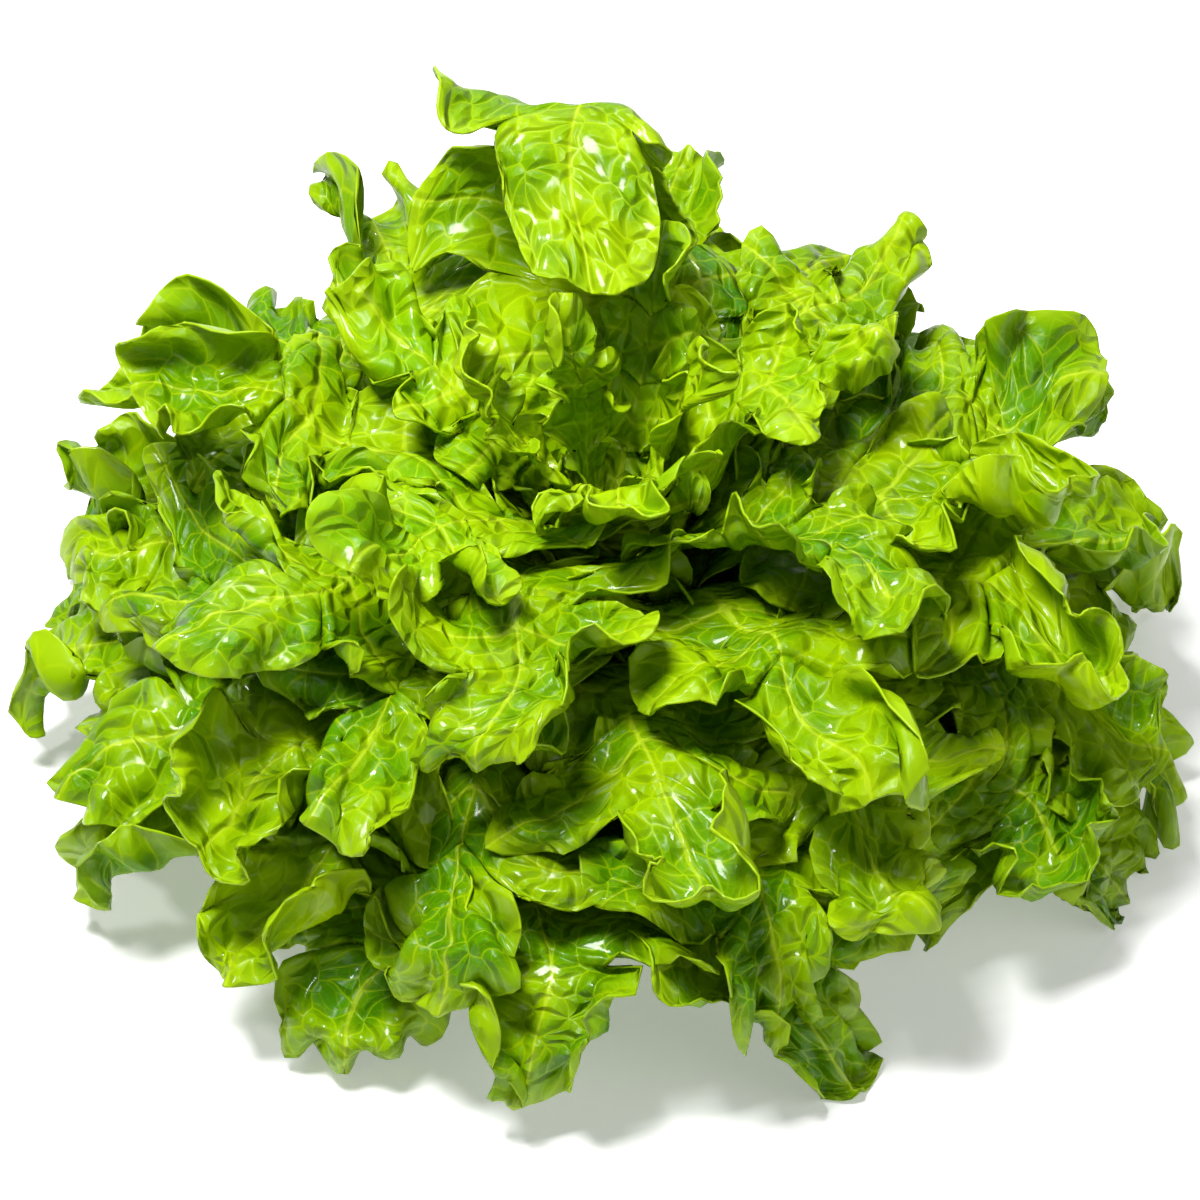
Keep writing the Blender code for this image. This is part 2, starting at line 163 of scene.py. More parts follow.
def bezier(start, leave, arrive, end):
    t = np.linspace(0, 1, MIDRIB_POINTS)[:, None]
    return (1 - t) ** 3 * start + 3 * (1 - t) ** 2 * t * leave + 3 * (1 - t) * t**2 * arrive + t**3 * end


class Wave:
    """Smooth seeded noise between -1 and 1 along a line from 0 to 1."""

    def __init__(self, random, waves):
        self.heights = random.uniform(-1, 1, waves + 2)

    def __call__(self, along):
        at = np.clip(along, 0, 1) * (len(self.heights) - 2)
        first = np.minimum(np.floor(at).astype(int), len(self.heights) - 2)
        return lerp(self.heights[first], self.heights[first + 1], smooth(at - first))


class Leaf:
    """One leaf. Its rank runs from 0, the lowest outside, to LEAF_COUNT - 1 at the heart."""

    def __init__(self, rank):
        random = np.random.default_rng(LEAF_SEED + rank)
        self.age = 1 - rank / (LEAF_COUNT - 1)
        self.azimuth = FIRST_AZIMUTH + rank * GOLDEN_ANGLE + random.uniform(-0.12, 0.12)
        self.half_width = lerp(HEART_HALF_WIDTH, OUTER_HALF_WIDTH, self.age) * random.uniform(0.92, 1.08)
        self.petiole = lerp(HEART_PETIOLE_HALF_WIDTH, PETIOLE_HALF_WIDTH, self.age)
        self.petiole_thickness = lerp(HEART_PETIOLE_THICKNESS, PETIOLE_THICKNESS, self.age)
        self.low = smooth((self.age - LOW_FROM) / LOW_OVER)
        self.broad = lerp(1, LOW_BREADTH, self.low)
        self.sweep = None
        self.draw_midrib(rank, random)
        self.sides = {side: self.draw_side(random) for side in (-1, 1)}
        for name in ("rise", "droop", "fold", "twist", "size"):
            self.sides[1][name][-1] = self.sides[-1][name][-1]

    def draw_midrib(self, rank, random):
        """A Bezier curve from the stem to the head's outside, in a plane through the stem."""
        rise = 1 - self.age
        base_z = lerp(*FOOT_HEIGHTS, rise)
        start = math.radians(lerp(*FOOT_SLOPES, rise**0.7))
        heart = max(0.0, rise - HEART_FROM) / HEART_OVER
        end = math.radians(lerp(*TIP_SLOPES, rise**1.1) + HEART_LIFT * heart**1.5)
        base_r = stem_radius(base_z) + STEM_GAP + 0.6 * self.petiole_thickness * math.sin(start)
        tip_z = lerp(*TIP_HEIGHTS, rise**CROWDING) + random.uniform(-0.0015, 0.0015)
        fall = min(1.0, tip_z / HEAD_HEIGHT) ** HEAD_ROUNDNESS
        tip_r = HEAD_RADIUS * max(0.0, 1 - fall) ** (1 / HEAD_ROUNDNESS) * random.uniform(0.975, 1.0)
        tip_r *= 1 - 0.5 * smooth(heart)
        base = np.array([float(base_r), base_z])
        tip = np.array([tip_r, tip_z])
        chord = np.linalg.norm(tip - base)
        leave = base + chord * lerp(0.48, 0.45, rise) * np.array([math.cos(start), math.sin(start)])
        arrive = tip - chord * lerp(0.36, 0.30, rise) * np.array([math.cos(end), math.sin(end)])
        self.curve = bezier(base, leave, arrive, tip)
        self.half_width *= 1 - 0.55 * heart
        if rank == CREST_RANK:
            self.half_width = CREST_HALF_WIDTH
            self.petiole *= 0.7
            self.sweep = CREST_SWEEP
            kept = self.curve[: int(CREST_PART * len(self.curve))]
            onward = (kept[-1] - kept[-2]) / np.linalg.norm(kept[-1] - kept[-2])
            hook = bezier(kept[-1], kept[-1] + 0.022 * onward, *CREST_HOOK)
            self.curve = np.concatenate([kept, hook[1:]])
        steps = np.linalg.norm(np.diff(self.curve, axis=0), axis=1)
        self.arc = np.concatenate([[0], np.cumsum(steps)])
        self.length = self.arc[-1]
        slope = np.gradient(self.curve, axis=0)
        self.angle = np.unwrap(np.arctan2(slope[:, 1], slope[:, 0]))

    def draw_side(self, random):
        """The seeded form of the lobes on one side of the midrib. The lowest leaves hang to the floor."""
        return {
            "size": random.uniform(0.84, 1.12, LOBES),
            "depth": random.uniform(0.56, 0.68),
            "rise": random.uniform(0, lerp(60, 20, self.low), LOBES),
            "droop": random.uniform(lerp(-150, -110, self.low), lerp(30, -10, self.low), LOBES),
            "fold": random.uniform(-1, 1, LOBES),
            "twist": random.uniform(-1, 1, LOBES),
            "lean": random.uniform(-1, 1),
            "sway": Wave(random, 6),
        }

    def margin(self, q, side):
        """For each column its reach, the lobes' outline, the web's reach, its angle, lobe and phase."""
        form = self.sides[side]
        lobe = np.clip(np.searchsorted(SINUSES, q, side="right") - 1, 0, LOBES - 1)
        phase = np.clip((q - LOBE_ENDS[lobe]) / (LOBE_ENDS[lobe + 1] - LOBE_ENDS[lobe]), 0, 1)
        whole = self.half_width * np.interp(q, *HALF_WIDTHS)
        last = np.clip((q - SINUSES[-1]) / (1 - SINUSES[-1]), 0, 1)
        tip = self.broad * TIP_REACH * self.length * (1 + 0.18 * np.sin(math.pi * last) ** 2)
        whole = lerp(whole, tip, smooth((q - 0.72) / 0.14))
        whole = whole + self.petiole * (1 - smooth((q - 0.08) / 0.16))
        web = whole * (1 - form["depth"] * smooth((q - 0.02) / 0.15))
        bulge = np.where(q < SINUSES[0], 0, np.sin(math.pi * phase**0.85) ** 0.5)
        bulge = np.where(lobe == LOBES - 1, np.sin(math.pi * np.minimum(phase, 0.5)) ** 0.4, bulge)
        size = form["size"][lobe]
        reach = web + (whole * size - web) * bulge
        angle = np.interp(q, [0, 0.16, 0.81, 1], [90, 84, 60, 0])
        angle = angle + 5 * form["lean"] * smooth(q / 0.3) * (1 - smooth((q - 0.5) / 0.24))
        return reach, np.maximum(whole * size, reach), web, np.radians(angle), lobe, phase

    def foot(self, q):
        """Where the column starts on the midrib."""
        last = np.clip((q - SINUSES[-1]) / (1 - SINUSES[-1]), 0, 1)
        share = np.interp(q, [0, 0.16, 0.81], [0, 0.17, 0.89]) + 0.11 * (1 - (1 - last) ** 2)
        return RIB_END * self.length * share

    def lobe_axis(self, lobe, side):
        """For each column the foot of its lobe's axis on the midrib, and the way that it points."""
        middle = np.append((SINUSES[1:] + SINUSES[:-1]) / 2, 1.0)[lobe]
        _, _, _, angle, _, _ = self.margin(middle, side)
        return self.foot(middle)[:, None], side * np.sin(angle)[:, None], np.cos(angle)[:, None]

    def flat(self, q, v, side):
        """The leaf laid out flat: across, along, lift."""
        reach, _, _, angle, _, _ = self.margin(q, side)
        out = reach[:, None] * v
        across = side * np.sin(angle)[:, None] * out
        return across, self.foot(q)[:, None] + np.cos(angle)[:, None] * out, 0 * out

    def ruffled(self, q, v, side):
        """The leaf with its lobes curled along, folded across and twisted: across, along, lift."""
        form = self.sides[side]
        reach, whole, web, angle, lobe, phase = self.margin(q, side)
        fine = np.linspace(0, 1, BEND_STEPS + 1)
        out = reach[:, None] * fine
        free = np.clip((out - web[:, None]) / (whole - web + 1e-6)[:, None], 0, 1)
        room = (smooth((q - 0.10) / 0.25) * (1 - smooth((q - 0.86) / 0.14)))[:, None]
        pitch = SWAY * form["sway"](q)[:, None] * out / whole[:, None] * room
        pitch = pitch + form["rise"][lobe][:, None] * smooth(free * 4) + form["droop"][lobe][:, None] * free
        pitch = np.radians(pitch)
        step = reach[:, None] / BEND_STEPS
        middle_pitch = (pitch[:, 1:] + pitch[:, :-1]) / 2
        along = np.concatenate([0 * step, np.cumsum(step * np.cos(middle_pitch), 1)], 1)
        lift = np.concatenate([0 * step, np.cumsum(step * np.sin(middle_pitch), 1)], 1)
        first = np.minimum(np.floor(v * BEND_STEPS).astype(int), BEND_STEPS - 1)
        share = v * BEND_STEPS - first
        along, lift, pitch, free = (
            lerp(table[:, first], table[:, first + 1], share) for table in (along, lift, pitch, free)
        )
        middle_foot, aim_x, aim_y = self.lobe_axis(lobe, side)
        x = side * np.sin(angle)[:, None] * along
        y = self.foot(q)[:, None] + np.cos(angle)[:, None] * along
        centre_x, centre_y = aim_x * along, middle_foot + aim_y * along
        off_x, off_y = x - centre_x, y - centre_y
        wide = np.hypot(off_x, off_y) + 1e-9
        off_x, off_y = off_x / wide, off_y / wide
        free = smooth(free * 1.25)
        fold = FOLD * form["fold"][lobe][:, None] * free * np.minimum(wide / 0.014, 1.3) + 1e-6
        aside, up = wide * np.sin(fold) / fold, wide * (1 - np.cos(fold)) / fold
        turn = TWIST * form["twist"][lobe][:, None] * free
        turn = turn * np.where(lobe == LOBES - 1, side, np.sign(phase - 0.5))[:, None]
        aside, up = aside * np.cos(turn) - up * np.sin(turn), aside * np.sin(turn) + up * np.cos(turn)
        x = centre_x + off_x * aside - aim_x * np.sin(pitch) * up
        y = centre_y + off_y * aside - aim_y * np.sin(pitch) * up
        below = (q < SINUSES[0])[:, None]
        x = np.where(below, side * np.sin(angle)[:, None] * along, x)
        y = np.where(below, self.foot(q)[:, None] + np.cos(angle)[:, None] * along, y)
        return x, y, lift + np.where(below, 0, np.cos(pitch) * up)

    def place(self, across, along, lift):
        """Points of the laid-out leaf in the head."""
        r = np.interp(along, self.arc, self.curve[:, 0])
        z = np.interp(along, self.arc, self.curve[:, 1])
        angle = np.interp(along, self.arc, self.angle)
        beyond = np.maximum(along - self.length, 0)
        r = r + beyond * np.cos(angle) - np.sin(angle) * lift
        z = z + beyond * np.sin(angle) + np.cos(angle) * lift
        bend = np.hypot(np.maximum(r, 0.002), 0.012)
        if self.sweep:
            bend = lerp(bend, self.sweep, smooth((along - 0.6 * self.length) / (0.3 * self.length)))
            out, aside = r - bend + bend * np.cos(across / bend), bend * np.sin(across / bend)
        else:
            out, aside = r * np.cos(across / bend), r * np.sin(across / bend)
        turn_x, turn_y = math.cos(self.azimuth), math.sin(self.azimuth)
        return np.stack([out * turn_x - aside * turn_y, out * turn_y + aside * turn_x, z], -1)

    def sheet(self, q, v, form):
        """A grid of points: columns along the leaf by rows from the left margin to the right one."""
        return both_sides(*(self.place(*getattr(self, form)(q, v, side)) for side in (-1, 1)))

    def thickness(self, q, v):
        """Thick at the petiole and along the midrib, thin at the margin."""
        rib = (1 - smooth(q / 0.9))[:, None] * (1 - 0.8 * smooth(v / 0.6))
        half = BLADE_THICKNESS + (self.petiole_thickness - BLADE_THICKNESS) * rib
        return both_sides(half, half)


class Drift:
    """A seeded flow that moves the leaves about without letting them cross, and leaves the stem alone."""

    def __init__(self, seed, reach, longest, shortest):
        random = np.random.default_rng(seed)
        heading = random.normal(size=(FLOW_WAVES, 3))
        heading /= np.linalg.norm(heading, axis=1)[:, None]
        self.waves = heading * 2 * math.pi / random.uniform(shortest, longest, FLOW_WAVES)[:, None]
        sideways = np.cross(heading, random.normal(size=(FLOW_WAVES, 3)))
        self.push = sideways / np.linalg.norm(sideways, axis=1)[:, None] * reach * math.sqrt(2 / FLOW_WAVES)
        self.phase = random.uniform(0, 2 * math.pi, FLOW_WAVES)

    def __call__(self, points):
        for _ in range(FLOW_STEPS):
            x, y, z = points[..., 0], points[..., 1], np.maximum(points[..., 2] - 0.03, 0)
            away = np.sqrt(x**2 + y**2 + z**2)
            free = smooth((away - STILL_RADIUS) / STIRRED_OVER)[..., None]
            flow = np.sin(points @ self.waves.T + self.phase) @ self.push
            points = points + free * flow / FLOW_STEPS
        return points


def above_floor(points, clear=0.0008, soft=0.002):
    """Presses the leaves that would hang below the floor flat on it, and leaves the others alone."""
    z = points[..., 2]
    pressed = clear + soft * np.log1p(np.exp((z - clear) / soft))
    out = smooth((np.hypot(points[..., 0], points[..., 1]) - 0.030) / 0.03)
    points = points.copy()
    points[..., 2] = lerp(z, pressed, out)
    return points


def drawn_in(points, start=0.138, room=0.018):
    """Draws the lobes that would stand out beyond the head back towards it."""
    away = np.hypot(points[..., 0], points[..., 1]) + 1e-9
    over = np.maximum(away - start, 0)
    share = (away - over + room * (1 - np.exp(-over / room))) / away
    return points * np.stack([share, share, np.ones_like(share)], -1)


WIDE_FLOW = Drift(17, 0.006, 0.14, 0.08)
NARROW_FLOW = Drift(35, 0.003, 0.07, 0.05)


def moved(points):
    """Points of the even head in the grown one, by a wide flow, a narrow one, its outside and the floor."""
    return above_floor(drawn_in(WIDE_FLOW(NARROW_FLOW(points))))


def lobe_columns():
    """The solid's columns: three for the petiole, three for each lobe and four for half of the last one."""
    q = [0.0, 0.08, 0.16]
    for start, end in zip(LOBE_ENDS[:-2], LOBE_ENDS[1:-1]):
        q += [lerp(start, end, share) for share in (0, 0.28, 0.72)]
    return np.array(q + [lerp(*LOBE_ENDS[-2:], share) for share in (0, 0.14, 0.32, 0.5)])


def joined(grid):
    """The quads and the rim of a sheet, whose last column has its two halves made one."""
    columns, rows = grid.shape[:2]
    index = np.arange(columns * rows).reshape(columns, rows)
    middle = rows // 2
    index[-1, :middle] = index[-1, :middle:-1]
    quads = np.stack([index[:-1, :-1], index[1:, :-1], index[1:, 1:], index[:-1, 1:]], -1).reshape(-1, 4)
    return quads, np.concatenate([index[:, 0], index[-2::-1, -1], index[0, -2:0:-1]])


def halved(grid, quads):
    """The quads cut into triangles along their shorter diagonals."""
    corner = grid.reshape(-1, 3)[quads]
    diagonals = np.linalg.norm(corner[:, [0, 1]] - corner[:, [2, 3]], axis=-1)
    across = diagonals[:, 0] <= diagonals[:, 1]
    first = np.where(across[:, None], quads[:, [0, 1, 2]], quads[:, [0, 1, 3]])
    second = np.where(across[:, None], quads[:, [0, 2, 3]], quads[:, [1, 2, 3]])
    return np.concatenate([first, second])


def solid(grid, thickness):
    """Closed mesh of a sheet: vertices, triangles and the grid point of each vertex."""
    quads, rim = joined(grid)
    triangles = halved(grid, quads)
    points = grid.reshape(-1, 3)
    half = thickness.reshape(-1, 1) / 2
    corners = points[triangles]
    area = np.cross(corners[:, 1] - corners[:, 0], corners[:, 2] - corners[:, 0])
    normal = np.zeros_like(points)
    for corner in range(3):
        np.add.at(normal, triangles[:, corner], area)
    normal /= np.linalg.norm(normal, axis=1)[:, None] + 1e-12
    after = np.roll(rim, -1)
    count = len(points)
    skirt = [np.stack([rim, rim + count, after + count], 1), np.stack([rim, after + count, after], 1)]
    faces = np.concatenate([triangles, triangles[:, ::-1] + count, *skirt])
    used, faces = np.unique(faces, return_inverse=True)
    both = np.concatenate([points - normal * half, points + normal * half])
    return both[used], faces.reshape(-1, 3), used % count


def crossings(solids, within):
    """For each leaf, the vertices of triangles that cut another leaf, or its own ones if within is set."""
    starts = np.cumsum([0] + [len(points) for points, _, _ in solids])
    points = np.concatenate([points for points, _, _ in solids])
    faces = np.concatenate([faces + start for (_, faces, _), start in zip(solids, starts)])
    owner = np.searchsorted(starts, faces[:, 0], side="right")
    tree = BVHTree.FromPolygons((points * 1000).tolist(), faces.tolist())
    pairs = np.array(tree.overlap(tree), int).reshape(-1, 2)
    pairs = pairs[(pairs[:, 0] < pairs[:, 1]) & ((owner[pairs[:, 0]] == owner[pairs[:, 1]]) == within)]
    first, second = faces[pairs[:, 0]], faces[pairs[:, 1]]
    apart = ~(first[:, :, None] == second[:, None, :]).any(axis=(1, 2))
    hit = np.zeros(len(points), bool)
    hit[first[apart]] = True
    hit[second[apart]] = True
    return [hit[a:b] for a, b in zip(starts[:-1], starts[1:])]


def eased(weight):
    """The weights with each one brought down towards its neighbours' mean."""
    wide = np.pad(weight, 1, mode="edge")
    mean = (wide[:-2, 1:-1] + wide[2:, 1:-1] + wide[1:-1, :-2] + wide[1:-1, 2:]) / 4
    return np.minimum(weight, lerp(weight, mean, EASING))


def settle(leaves, q, v):
    """The share of its ruffles that each point of each leaf keeps, eased back where leaves would cross."""
    flat = [leaf.sheet(q, v, "flat") for leaf in leaves]
    ruffled = [leaf.sheet(q, v, "ruffled") for leaf in leaves]
    weights = [np.ones(grid.shape[:2]) for grid in flat]
    for _ in range(SETTLE_ROUNDS):
        grids = [moved(lerp(a, b, w[..., None])) for a, b, w in zip(flat, ruffled, weights)]
        real = [solid(grid, leaf.thickness(q, v)) for grid, leaf in zip(grids, leaves)]
        wide = [solid(grid, leaf.thickness(q, v) + CLEARANCE) for grid, leaf in zip(grids, leaves)]
        between, within = crossings(wide, False), crossings(real, True)
        if not any(hit.any() for hit in between + within):
            break
        for weight, hit, own, (_, _, source) in zip(weights, between, within, wide):
            if (hit | own).any():
                weight.reshape(-1)[np.unique(source[hit | own])] *= SETTLE_STEP
                weight[:] = eased(weight)
    return weights


def fine_columns():
    """Columns of the visible blade, closest beside the turns between lobes, one on each lobe's middle."""
    q = list(np.linspace(0, SINUSES[0], PETIOLE_COLUMNS)[:-1])
    for lobe, (start, end) in enumerate(zip(LOBE_ENDS[:-1], LOBE_ENDS[1:])):
        last = lobe == LOBES - 1
        t = np.linspace(0, 1, TIP_COLUMNS if last else LOBE_COLUMNS)
        phase = lerp(t, (1 - np.cos(math.pi * t)) / 2, 0.3 if last else 0.6)
        if last:
            phase = phase[: TIP_COLUMNS // 2 + 1]
        q += list(start + (end - start) * phase)[: None if last else -1]
    q[-1] = 1.0
    return np.array(q)


def puffs(x, y, spacing, random):
    """Soft round domes scattered over the flat leaf about one spacing apart, each of its own height."""
    u, v = x / spacing, y / spacing
    tile = (PUFF_TILE, PUFF_TILE)
    jitter = random.uniform(0.05, 0.95, (2, *tile))
    height = random.uniform(0.25, 1.0, tile)
    width = random.uniform(0.32, 0.50, tile)
    column, row = np.floor(u).astype(int), np.floor(v).astype(int)
    dome = np.zeros(u.shape)
    for side in (-1, 0, 1):
        for up in (-1, 0, 1):
            i, j = (column + side) % PUFF_TILE, (row + up) % PUFF_TILE
            away = (column + side + jitter[0, i, j] - u) ** 2 + (row + up + jitter[1, i, j] - v) ** 2
            dome = np.maximum(dome, height[i, j] * np.exp(-away / width[i, j] ** 2))
    return dome


class Ruffle:
    """A seeded wave of the margin, up and down by turns, by length along the margin from the leaf's tip."""

    def __init__(self, random, spacing):
        knots = np.arange(RUFFLE_KNOTS)
        self.heights = np.where(knots % 2, 1, -1) * random.uniform(0.1, 1, RUFFLE_KNOTS)
        jitter = random.uniform(-0.28, 0.28, RUFFLE_KNOTS)
        self.places = (knots - RUFFLE_KNOTS // 2 + jitter) * spacing

    def __call__(self, s):
        after = np.clip(np.searchsorted(self.places, s), 1, RUFFLE_KNOTS - 1)
        share = (s - self.places[after - 1]) / (self.places[after] - self.places[after - 1])
        return lerp(self.heights[after - 1], self.heights[after], smooth(share))


def surface_normals(grid):
    """Unit normals of a sheet's grid points."""
    along = np.gradient(grid, axis=0)
    across = np.gradient(grid, axis=1)
    normal = np.cross(across, along)
    middle = grid.shape[1] // 2
    normal[-1] = np.cross(across[-1], grid[-1] - grid[-2])
    normal[-1, :middle] = normal[-1, :middle:-1]
    normal[-1, middle] = normal[-2, middle]
    return normal / (np.linalg.norm(normal, axis=-1, keepdims=True) + 1e-12)


def blade_solid(grid, normal, thickness):
    """Closed mesh of a blade in four-sided faces: vertices, faces and the grid point of each vertex."""
    quads, rim = joined(grid)
    count = grid[..., 0].size
    after = np.roll(rim, -1)
    skirt = np.stack([rim, rim + count, after + count, after], 1)
    faces = np.concatenate([quads, quads[:, ::-1] + count, skirt])
    half = thickness[..., None] * normal / 2
    both = np.concatenate([(grid - half).reshape(-1, 3), (grid + half).reshape(-1, 3)])
    used, faces = np.unique(faces, return_inverse=True)
    faces = faces.reshape(-1, 4)
    points = both[used]
    corner = points[faces]
    normals = np.cross(corner[:, 2] - corner[:, 0], corner[:, 3] - corner[:, 1])
    if (corner.mean(1) * normals).sum() < 0:
        faces = faces[:, ::-1]
    return points, faces, used % count


@cache
def settled_head():
    """All leaves of the head, and the share of its ruffles that each point of each one keeps."""
    leaves = [Leaf(rank) for rank in range(LEAF_COUNT)]
    return leaves, settle(leaves, lobe_columns(), ROWS)


def fine_weight(weights, q, v):
    """The settled weights of one leaf, brought nearer to 1 and spread over its fine columns and rows."""
    half = np.stack([np.interp(q, lobe_columns(), row) for row in (weights**0.5).T], 1)
    rows, fine_rows = (np.concatenate([-side[:0:-1], side]) for side in (ROWS, v))
    return np.stack([np.interp(fine_rows, rows, column) for column in half])


def margin_lengths(leaf, q):
    """Length along each margin from the leaf's tip to each column, negative on the left side."""
    sides = []
    for side in (-1, 1):
        x, y, _ = leaf.flat(q, np.array([0.0, 1.0]), side)
        step = np.hypot(np.diff(x[:, 1]), np.diff(y[:, 1]))
        sides.append(side * np.append(np.cumsum(step[::-1])[::-1], 0))
    return sides


def vein_distance(leaf, q, v, side):
    """For each grid point, its distance to the nearest main vein over that vein's half width."""
    x, y, _ = leaf.flat(q, v, side)
    _, _, _, _, lobe, _ = leaf.margin(q, side)
    foot, aim_x, aim_y = leaf.lobe_axis(lobe, side)
    aside = np.abs(x * aim_y - (y - foot) * aim_x)
    out = x * aim_x + (y - foot) * aim_y
    lateral = aside / lerp(*VEIN_HALF_WIDTHS, np.clip(out / VEIN_LENGTH, 0, 1))
    lateral = np.where((q < SINUSES[0])[:, None] | (out < 0), FAR_VEIN, lateral)
    rib = np.abs(x) / lerp(*RIB_HALF_WIDTHS, smooth(q / 0.85))[:, None]
    return np.minimum(np.minimum(lateral, rib), FAR_VEIN)


def blade_form(rank, shape):
    """The visible form of one leaf: vertices, faces, what its material reads there, its flat place."""
    leaves, weights = settled_head()
    leaf = leaves[rank]
    random = np.random.default_rng(BLADE_SEED + rank)
    q, v = fine_columns(), FINE_ROWS
    weight = fine_weight(weights[rank], q, v)
    sheet = lerp(leaf.sheet(q, v, "flat"), leaf.sheet(q, v, "ruffled"), weight[..., None])
    wander = shape.crumple_length
    sheet = moved(Drift(CRUMPLE_SEED, shape.crumple_height, wander * 1.25, wander * 0.8)(sheet))
    reach = [leaf.margin(q, side)[0][:, None] for side in (-1, 1)]
    inward = both_sides(*(far * (1 - v) for far in reach))
    outward = both_sides(*(far * v for far in reach))
    flat = [leaf.flat(q, v, side) for side in (-1, 1)]
    across, along = (both_sides(flat[0][axis], flat[1][axis]) for axis in (0, 1))
    normal = surface_normals(sheet)
    free = smooth((q - 0.16) / 0.16)[:, None]
    grown = np.clip(leaf.half_width / 0.045, 0.35, 1)
    wave, frill = (Ruffle(random, length / 2) for length in (shape.ruffle_length, shape.frill_length))
    s = both_sides(*(np.repeat(length[:, None], len(v), 1) for length in margin_lengths(leaf, q)))
    lift = shape.ruffle_height * grown * wave(s) * np.exp(-(inward / RUFFLE_REACH) ** 1.3)
    lift += shape.frill_height * grown * frill(s) * np.exp(-(inward / FRILL_REACH) ** 1.2)
    puff = puffs(across + 0.2, along, shape.blister_size, random)
    puff *= smooth(inward / 0.005) * smooth((outward - 0.001) / 0.006)
    lift += shape.blister_height * grown * puff
    if rank == CREST_RANK:
        lift = lift * CREST_RELIEF
    sheet = above_floor(sheet + normal * (lift * free)[..., None], clear=0.0006, soft=0.0015)
    place = np.stack([across + FLAT_STEP[0] * (rank % 8), along + FLAT_STEP[1] * (rank // 8)], -1)
    rib = (1 - smooth(q / 0.9))[:, None] * np.exp(-((outward / 0.0028) ** 2))
    thickness = shape.blade_thickness + (leaf.petiole_thickness - shape.blade_thickness) * rib
    points, faces, source = blade_solid(sheet, surface_normals(sheet), thickness)
    tables = {
        "edge_mm": inward * 1000,
        "vein": both_sides(*(vein_distance(leaf, q, v, side) for side in (-1, 1))),
        "stalk": np.repeat((1 - smooth((q - 0.05) / 0.55))[:, None], sheet.shape[1], 1),
        "tint": np.full(sheet.shape[:2], random.uniform(0, 1)),
    }
    tables = {title: table.reshape(-1)[source] for title, table in tables.items()}
    return points, faces, tables, place.reshape(-1, 2)[source]


def add_values(mesh, **tables):
    """The named values at the mesh's points, which its material reads."""
    for title, table in tables.items():
        attribute = mesh.attributes.new(title, "FLOAT", "POINT")
        attribute.data.foreach_set("value", table.astype(np.float32).ravel())


def add_piece(mesh, node):
    """The finished piece of that mesh and name, in place of a node of the frame."""
    mesh.polygons.foreach_set("use_smooth", np.ones(len(mesh.polygons), bool))
    piece = bpy.data.objects.new(mesh.name, mesh)
    bpy.context.scene.collection.objects.link(piece)
    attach(piece, "root")
    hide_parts(node)


def add_blade(rank, shape, look):
    """The finished blade of one leaf, in place of its solid."""
    points, faces, tables, place = blade_form(rank, shape)
    mesh = bpy.data.meshes.new(f"blade_{rank + 1:02d}")
    mesh.from_pydata(points.tolist(), [], faces.tolist())
    add_values(mesh, **tables)
    corners = np.empty(len(mesh.loops), np.int32)
    mesh.loops.foreach_get("vertex_index", corners)
    place = place[corners].astype(np.float32)
    mesh.uv_layers.new(name="flat_leaf").uv.foreach_set("vector", place.ravel())
    mesh.materials.append(look)
    add_piece(mesh, f"leaf_{rank + 1:02d}")


def group_of(name, inputs, outputs):
    """A shader node group with the given sockets: its tree, its input node and its output node."""
    tree = bpy.data.node_groups.new(name, "ShaderNodeTree")
    for title, kind, value in inputs:
        socket = tree.interface.new_socket(title, in_out="INPUT", socket_type=kind)
        if value is not None:
            socket.default_value = value
    for title, kind in outputs:
        tree.interface.new_socket(title, in_out="OUTPUT", socket_type=kind)
    return tree, tree.nodes.new("NodeGroupInput"), tree.nodes.new("NodeGroupOutput")


